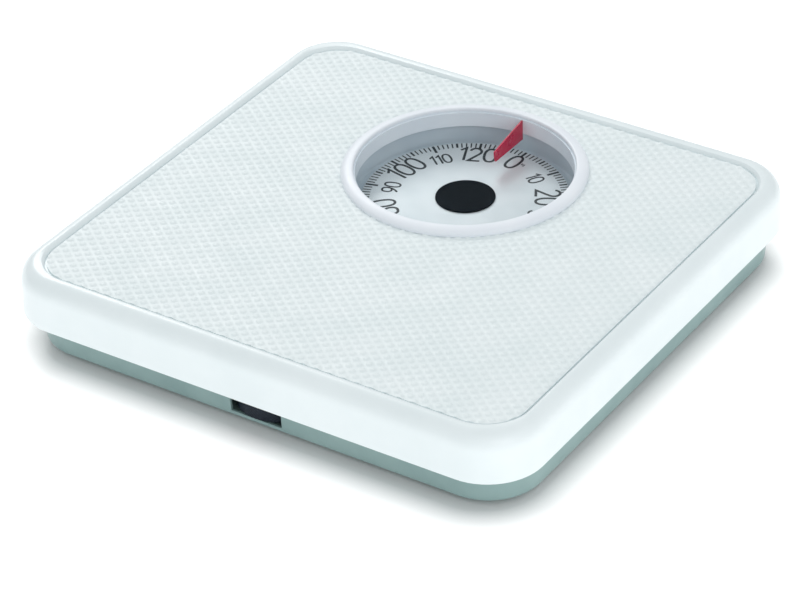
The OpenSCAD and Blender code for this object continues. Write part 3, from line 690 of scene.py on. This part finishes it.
def build_surround():
    """Fixed tray round the dial, with a floor under the disc.

    Its wall stands just outside the bezel's collar and turns over into a brim. It has three legs.
    """
    low, high = box_mm("dial_surround")
    ring_low, sheet = 24.2, 1.2
    wall = BEZEL["inner"] + BEZEL["wall"] + 1.6
    brim = 39.4 - sheet - 1.0
    outer = high.x
    profile = [(40.0, ring_low + 0.2), (40.2, ring_low), (wall + sheet - 0.6, ring_low)]
    profile += arc(wall + sheet - 0.6, ring_low + 0.6, 0.6, 0.6, -60, 0, 3)
    profile += [(wall + sheet, brim - sheet), (outer - sheet, brim - sheet), (outer - sheet, ring_low),
                (outer, ring_low), (outer, brim)]
    profile += arc(wall + 0.8, brim - 0.8, 0.8, 0.8, 90, 180, 5)
    profile += arc(wall - 1.2, ring_low + sheet + 1.2, 1.2, 1.2, 0, -90, 5)
    profile += [(40.2, ring_low + sheet), (40.0, ring_low + sheet - 0.2)]
    legs = []
    leg_circle = 62
    for angle in (0, 100, 180):
        a = math.radians(angle)
        foot = (DIAL[0] + leg_circle * math.cos(a), DIAL[1] + leg_circle * math.sin(a))
        leg = [(1.6, low.z), (3.7, low.z), (4.0, low.z + 0.3), (4.0, brim - sheet), (1.6, brim - sheet)]
        legs.append(lathe(leg, foot, steps=32))
    tray = mesh_object("surround_tray", *joined([lathe(profile, DIAL, steps=160)] + legs),
                       MATERIALS["surround_plastic"])
    place(tray, "base", ["dial_surround"])


build_dial()
build_hub()
build_surround()


# ---- Base pan and feet ----

PAN_LOW, PAN_HIGH = box_mm("base_pan")
# the pan leans outward, so its box is the wall's top
PAN = {"lean": 1.5, "half_x": PAN_HIGH.x - 1.5, "half_y": (PAN_HIGH.y - PAN_LOW.y) / 2 - 1.5,
       "corner": 26.5, "bottom": PAN_LOW.z, "top": PAN_HIGH.z, "sheet": 1.2,
       "centre_y": (PAN_HIGH.y + PAN_LOW.y) / 2, "slot_x": 14.0, "slot_low": 6.2, "slot_high": 20.5}


def build_pan():
    """Pressed pan with a bead round its floor, walls that lean outward, and the thumbwheel's slot."""
    corner_x, corner_y = PAN["half_x"] - PAN["corner"], PAN["half_y"] - PAN["corner"]
    slot = PAN["slot_x"]
    wall = PAN["sheet"]

    def ring(r, z):
        return rounded_ring(corner_x + r, corner_y + r, r, z, PAN["centre_y"], marks=(-slot, slot))

    def out_at(z):
        return PAN["corner"] + PAN["lean"] * (z - PAN["bottom"]) / (PAN["top"] - PAN["bottom"])

    bead = [(-24.5, 0.0), (-23.5, 0.12), (-22.0, 0.45), (-20.0, 0.5), (-18.0, 0.45), (-16.5, 0.12),
            (-15.5, 0.0)]
    rings = [rounded_ring(corner_x + r, corner_y + r, 8.0, PAN["bottom"] + up, PAN["centre_y"],
                          marks=(-slot, slot)) for r, up in bead]
    rings += [ring(r, PAN["bottom"]) for r in (8.0, 23.6)]
    bend_up = arc(PAN["corner"] - 2.2, PAN["bottom"] + 1.8, 2.2, 1.8, -75, 0, 6)
    rings += [ring(r, z) for r, z in bend_up[:-1]]
    outer_low = len(rings)
    rings.append(ring(out_at(PAN["slot_low"]), PAN["slot_low"]))
    rings += [ring(out_at(z), z) for z in (PAN["slot_high"], 26.0, PAN["top"] - 0.3)]
    rings += [ring(out_at(PAN["top"]) - 0.3, PAN["top"]), ring(out_at(PAN["top"]) - 0.9, PAN["top"])]
    rings += [ring(out_at(z) - wall, z) for z in (PAN["top"] - 0.3, PAN["slot_high"], PAN["slot_low"])]
    inner_low = len(rings) - 1
    rings += [ring(PAN["corner"] - wall - 0.6, PAN["bottom"] + wall), ring(4.0, PAN["bottom"] + wall)]
    front = [k for k, p in enumerate(rings[0]) if p[1] < PAN["centre_y"] - 70
             and -slot - 0.01 <= p[0] < slot - 0.01]
    verts, faces = loft(rings, caps=True, skip={(i, k) for i in (outer_low, inner_low - 1) for k in front})
    count = len(rings[0])
    first, last = front[0], front[-1] + 1
    for k in front:
        for a, b in ((outer_low, inner_low), (inner_low - 1, outer_low + 1)):
            faces.append((a * count + k, a * count + k + 1, b * count + k + 1, b * count + k))
    for k, turn in ((first, 1), (last, -1)):
        loop = [outer_low * count + k, (outer_low + 1) * count + k,
                (inner_low - 1) * count + k, inner_low * count + k]
        faces.append(tuple(loop[::turn]))
    pan = mesh_object("pan_shell", verts, faces, MATERIALS["pan_paint"])
    place(pan, "base", ["base_pan"])


FOOT = {"radius": 9.0, "x": 118.0, "y": (-96.0, 100.0)}


def build_feet():
    """Four pads with a shallow dimple under each, up to the pan's floor."""
    top, radius = PAN["bottom"], FOOT["radius"]
    profile = [(AXIS, 0.35), (3.0, 0.35), (3.6, 0.0), (7.6, 0.0), (8.4, 0.12), (8.85, 0.45),
               (radius, 1.0), (radius, top), (AXIS, top)]
    feet = joined([lathe(profile, (sx * FOOT["x"], y), steps=64, closed=False, caps=True)
                   for sx in (-1, 1) for y in FOOT["y"]])
    place(mesh_object("foot_pads", *feet, MATERIALS["foot_rubber"]), "base",
          ["rubber_feet"])


build_pan()
build_feet()


# ---- Thumbwheel ----

KNURL = {"ridges": 64, "pitch": 1.7, "depth": 0.55, "rows": 30}
WHEEL = {"bore": 5.4, "boss": 9.0, "wall": 5.0, "floor": 1.3, "edge": 1.0}


def build_thumbwheel():
    """Cupped wheel with a diamond knurl, on the axis of the CAD wheel."""
    low, high = box_mm("zero_wheel")
    centre = ((low.x + high.x) / 2, (low.y + high.y) / 2)
    radius = high.x
    bottom, top = PAN["slot_low"] + 0.4, high.z
    steps = KNURL["ridges"] * 4

    def ring(r, z):
        return circle(centre, r, z, steps)

    def knurled(z):
        out = []
        for k in range(steps):
            a = 2 * math.pi * k / steps
            relief = math.cos(KNURL["ridges"] * a) * math.cos(2 * math.pi * z / KNURL["pitch"])
            r = radius - KNURL["depth"] * (1 - relief) / 2
            out.append((centre[0] + r * math.cos(a), centre[1] + r * math.sin(a), z))
        return out

    edge, inside = radius - WHEEL["edge"], radius - WHEEL["wall"]
    rings = [ring(WHEEL["bore"], low.z), ring(WHEEL["boss"], low.z), ring(WHEEL["boss"], bottom),
             ring(edge, bottom)]
    rings += [knurled(bottom + 0.4 + (top - bottom - 0.8) * i / KNURL["rows"])
              for i in range(KNURL["rows"] + 1)]
    rings += [ring(edge, top), ring(inside, top), ring(inside, bottom + WHEEL["floor"]),
              ring(WHEEL["bore"], bottom + WHEEL["floor"])]
    wheel = mesh_object("knurled_wheel", *loft(rings, closed=True), MATERIALS["wheel_plastic"], sharp=50)
    place(wheel, "thumbwheel", ["zero_wheel"])


build_thumbwheel()


# ---- Springs ----

WEIGHING = {"mean": 9.0, "wire": 2.2, "low": 10.75, "high": 27.95, "turns": 4, "y": -106.5}
RETURN = {"mean": 2.2, "wire": 0.7, "low": 66.05, "high": 115.95, "turns": 16, "x": 6.5, "z": 8.4}


def coil_path(coil, steps):
    """Middle of the wire round an upright axis, steps points a turn."""
    mean, wire, low, high, turns = (coil[key] for key in ("mean", "wire", "low", "high", "turns"))
    return [(mean * math.cos(2 * math.pi * i / steps), mean * math.sin(2 * math.pi * i / steps),
             low + wire / 2 + (high - low - wire) * i / (turns * steps)) for i in range(turns * steps + 1)]


def build_springs():
    """Coiled wire of the weighing spring and of the rack's return spring."""
    path = [(x, y + WEIGHING["y"], z) for x, y, z in coil_path(WEIGHING, 40)]
    wire = tube(path, WEIGHING["wire"] / 2, 14)
    spring = mesh_object("weighing_spring", *wire, MATERIALS["spring_steel"])
    place(spring, "base", ["main_spring"])
    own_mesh(spring)
    path = [(x + RETURN["x"], z, y + RETURN["z"]) for x, y, z in coil_path(RETURN, 20)]
    wire = tube(path, RETURN["wire"] / 2, 8)
    spring = mesh_object("rack_spring", *wire, MATERIALS["spring_steel"])
    place(spring, "base", ["rack_return_spring"])
    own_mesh(spring)


build_springs()


# ---- Stage ----

LIGHTS = {"key_back": ((-1.3, 1.1, 1.15), 0.7, 10), "fill_right": ((1.7, -1.0, 0.8), 1.2, 7)}
LIGHT_TARGET = (0, 0, 0.02)
SKY_COLOUR = (0.965, 0.99, 1.0, 1)
# half sizes of the floor's rectangle that doesn't glow, and how far outside it the glow starts and is full
GLOW_HALF = (0.105, 0.10, 0)
GLOW_START, GLOW_FULL, GLOW_STRENGTH = 0.029, 0.044, 0.5
# the camera solved from the cover's corners and edges
CAMERA_PLACE = (0.76353, -1.13288, 0.90362)
CAMERA_RIGHT = (0.83796703, 0.54493715, -0.02923606)
CAMERA_UP = (-0.28068487, 0.47632297, 0.83326612)
CAMERA_LENS, CAMERA_SENSOR = 153.8, 36


def area_light(name, location, size, power):
    """Square light that faces the scale."""
    light = bpy.data.lights.new(name, "AREA")
    light.shape = "SQUARE"
    light.size = size
    light.energy = power
    obj = bpy.data.objects.new(name, light)
    bpy.context.scene.collection.objects.link(obj)
    obj.location = location
    obj.rotation_mode = "QUATERNION"
    obj.rotation_quaternion = (Vector(LIGHT_TARGET) - Vector(location)).to_track_quat("-Z", "Y")


def floor_material():
    """White sweep that glows a little away from the scale, so only the contact shadow stays dark."""
    m, tree, shader = new_material("floor_white")
    tree.links.new(blend_colour(tree, noise(tree, 2, 2.0), (0.93, 0.93, 0.93), (0.95, 0.95, 0.95)),
                   shader.inputs["Base Color"])
    shader.inputs["Roughness"].default_value = 0.85
    shader.inputs["Specular IOR Level"].default_value = 0.1
    value = tree.nodes.new("ShaderNodeTexCoord").outputs["Object"]
    # distance outside a rectangle: the length of max(|point| - half sizes, 0)
    for operation in ("ABSOLUTE", "SUBTRACT", "MAXIMUM", "LENGTH"):
        step = tree.nodes.new("ShaderNodeVectorMath")
        step.operation = operation
        tree.links.new(value, step.inputs[0])
        if operation == "SUBTRACT":
            step.inputs[1].default_value = GLOW_HALF
        value = step.outputs["Value" if operation == "LENGTH" else "Vector"]
    tree.links.new(spread(tree, value, GLOW_START, GLOW_FULL, 0.0, GLOW_STRENGTH),
                   shader.inputs["Emission Strength"])
    return m


def build_stage():
    """White floor, a sky that brightens upward, two lights and the photograph's camera."""
    size = 12
    mesh = bpy.data.meshes.new("floor")
    mesh.from_pydata([(-size, -size, 0), (size, -size, 0), (size, size, 0), (-size, size, 0)], [],
                     [(0, 1, 2, 3)])
    floor = bpy.data.objects.new("floor", mesh)
    bpy.context.scene.collection.objects.link(floor)
    mesh.materials.append(floor_material())
    world = bpy.data.worlds.new("studio")
    bpy.context.scene.world = world
    world.use_nodes = True
    tree = world.node_tree
    sky = tree.nodes["Background"]
    sky.inputs["Color"].default_value = SKY_COLOUR
    height = tree.nodes.new("ShaderNodeSeparateXYZ")
    tree.links.new(tree.nodes.new("ShaderNodeTexCoord").outputs["Generated"], height.inputs[0])
    tree.links.new(spread(tree, height.outputs["Z"], 0.0, 0.8, 0.42, 0.86), sky.inputs["Strength"])
    for name, (location, light_size, power) in LIGHTS.items():
        area_light(name, location, light_size, power)
    bpy.context.scene.view_settings.view_transform = "Standard"
    camera = bpy.data.cameras.new("camera")
    camera.lens = CAMERA_LENS
    camera.sensor_width = CAMERA_SENSOR
    eye = bpy.data.objects.new("camera", camera)
    bpy.context.scene.collection.objects.link(eye)
    right, up = Vector(CAMERA_RIGHT), Vector(CAMERA_UP)
    turn = Matrix((right, up, right.cross(up))).transposed()
    eye.matrix_world = Matrix.Translation(CAMERA_PLACE) @ turn.to_4x4()
    bpy.context.scene.camera = eye


build_stage()
